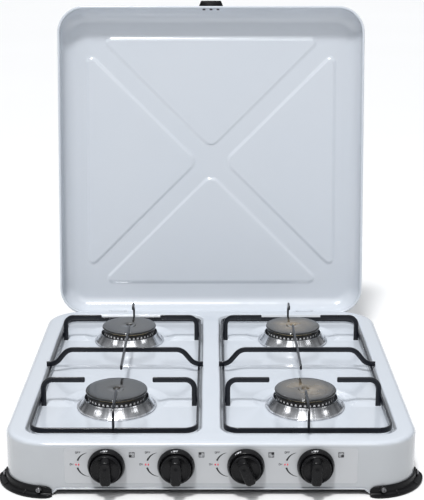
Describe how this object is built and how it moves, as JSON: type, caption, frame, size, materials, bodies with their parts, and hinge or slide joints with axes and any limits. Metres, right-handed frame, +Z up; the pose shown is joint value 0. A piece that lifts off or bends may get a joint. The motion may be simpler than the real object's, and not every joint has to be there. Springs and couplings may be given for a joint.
{
  "type": "camping stove",
  "caption": "Table-top gas camping stove: enamelled body with sunken burner wells, hinged lid, lift-out pan supports, push-and-turn taps and corner feet.",
  "frame": {"origin": "on the surface that the feet stand on, midway between the sides and midway between the knobs' fronts and the back of the open lid", "axes": "+X to the right seen from the knobs, +Y from the knobs to the rear, +Z up; at rest the lid is open at its stop"},
  "size_m": [0.5262, 0.6594, 0.5462],
  "materials": {
    "white_enamel": "gloss",
    "black_enamel": "gloss",
    "panel_film": "satin",
    "chrome": "polished",
    "flame_ring_steel": "matt",
    "steel": "zinc plated",
    "alloy": "cast",
    "brass": "turned",
    "black_plastic": "moulded"
  },
  "bodies": {
    "chassis": {"top_shell": "white_enamel", "control_decal": "panel_film", "manifold": "alloy", "inlet_pipe": "steel", "hose_nozzle": "brass", "gas_jets": "brass", "burner_screws": "steel", "body_hinge_leaves": "steel", "hinge_pins": "steel", "foot_front_left": "black_plastic", "foot_front_right": "black_plastic", "foot_rear_left": "black_plastic", "foot_rear_right": "black_plastic", "panel_screws": "steel", "valve_body_1": "alloy", "feed_tube_1": "steel", "burner_cup_1": "alloy", "flame_ring_1": "flame_ring_steel", "trim_ring_1": "chrome", "valve_body_2": "alloy", "feed_tube_2": "steel", "burner_cup_2": "alloy", "flame_ring_2": "flame_ring_steel", "trim_ring_2": "chrome", "valve_body_3": "alloy", "feed_tube_3": "steel", "burner_cup_3": "alloy", "flame_ring_3": "flame_ring_steel", "trim_ring_3": "chrome", "valve_body_4": "alloy", "feed_tube_4": "steel", "burner_cup_4": "alloy", "flame_ring_4": "flame_ring_steel", "trim_ring_4": "chrome"},
    "lid_assembly": {"lid": "white_enamel", "lid_handle": "black_plastic", "lid_rivets": "steel", "lid_hinge_leaves": "steel"},
    "support_left": {"pan_support_left": "black_enamel"},
    "support_right": {"pan_support_right": "black_enamel"},
    "tap_1": {"valve_plug_1": "brass", "valve_spring_1": "steel"},
    "push_1": {"spindle_1": "steel", "knob_1": "black_plastic"},
    "cap_1": {"burner_cap_1": "black_enamel"},
    "tap_2": {"valve_plug_2": "brass", "valve_spring_2": "steel"},
    "push_2": {"spindle_2": "steel", "knob_2": "black_plastic"},
    "cap_2": {"burner_cap_2": "black_enamel"},
    "tap_3": {"valve_plug_3": "brass", "valve_spring_3": "steel"},
    "push_3": {"spindle_3": "steel", "knob_3": "black_plastic"},
    "cap_3": {"burner_cap_3": "black_enamel"},
    "tap_4": {"valve_plug_4": "brass", "valve_spring_4": "steel"},
    "push_4": {"spindle_4": "steel", "knob_4": "black_plastic"},
    "cap_4": {"burner_cap_4": "black_enamel"}
  },
  "joints": [
    {"name": "lid_hinge", "type": "hinge", "parent": "chassis", "child": "lid_assembly", "pos_m": [0, 0.21266, 0.06], "axis": [-1, 0, 0], "range_deg": [-99.5, 0]},
    {"name": "tap_turn_1", "type": "hinge", "parent": "chassis", "child": "tap_1", "pos_m": [-0.12525, -0.28384, 0.04], "axis": [0, -1, 0], "range_deg": [0, 210]},
    {"name": "tap_push_1", "type": "slide", "parent": "tap_1", "child": "push_1", "axis": [0, 1, 0], "range_m": [0, 0.0025], "stiffness_N_per_m": 1200, "springref_m": -0.003},
    {"name": "tap_turn_2", "type": "hinge", "parent": "chassis", "child": "tap_2", "pos_m": [-0.04175, -0.28384, 0.04], "axis": [0, -1, 0], "range_deg": [0, 210]},
    {"name": "tap_push_2", "type": "slide", "parent": "tap_2", "child": "push_2", "axis": [0, 1, 0], "range_m": [0, 0.0025], "stiffness_N_per_m": 1200, "springref_m": -0.003},
    {"name": "tap_turn_3", "type": "hinge", "parent": "chassis", "child": "tap_3", "pos_m": [0.04175, -0.28384, 0.04], "axis": [0, -1, 0], "range_deg": [-22, 188]},
    {"name": "tap_push_3", "type": "slide", "parent": "tap_3", "child": "push_3", "axis": [0, 1, 0], "range_m": [0, 0.0025], "stiffness_N_per_m": 1200, "springref_m": -0.003},
    {"name": "tap_turn_4", "type": "hinge", "parent": "chassis", "child": "tap_4", "pos_m": [0.12525, -0.28384, 0.04], "axis": [0, -1, 0], "range_deg": [0, 210]},
    {"name": "tap_push_4", "type": "slide", "parent": "tap_4", "child": "push_4", "axis": [0, 1, 0], "range_m": [0, 0.0025], "stiffness_N_per_m": 1200, "springref_m": -0.003},
    {"name": "support_lift_left", "type": "slide", "parent": "chassis", "child": "support_left", "axis": [0, 0, 1], "range_m": [0, 0.06]},
    {"name": "support_lift_right", "type": "slide", "parent": "chassis", "child": "support_right", "axis": [0, 0, 1], "range_m": [0, 0.06]},
    {"name": "cap_lift_1", "type": "slide", "parent": "chassis", "child": "cap_1", "axis": [0, 0, 1], "range_m": [0, 0.04]},
    {"name": "cap_lift_2", "type": "slide", "parent": "chassis", "child": "cap_2", "axis": [0, 0, 1], "range_m": [0, 0.04]},
    {"name": "cap_lift_3", "type": "slide", "parent": "chassis", "child": "cap_3", "axis": [0, 0, 1], "range_m": [0, 0.04]},
    {"name": "cap_lift_4", "type": "slide", "parent": "chassis", "child": "cap_4", "axis": [0, 0, 1], "range_m": [0, 0.04]}
  ]
}
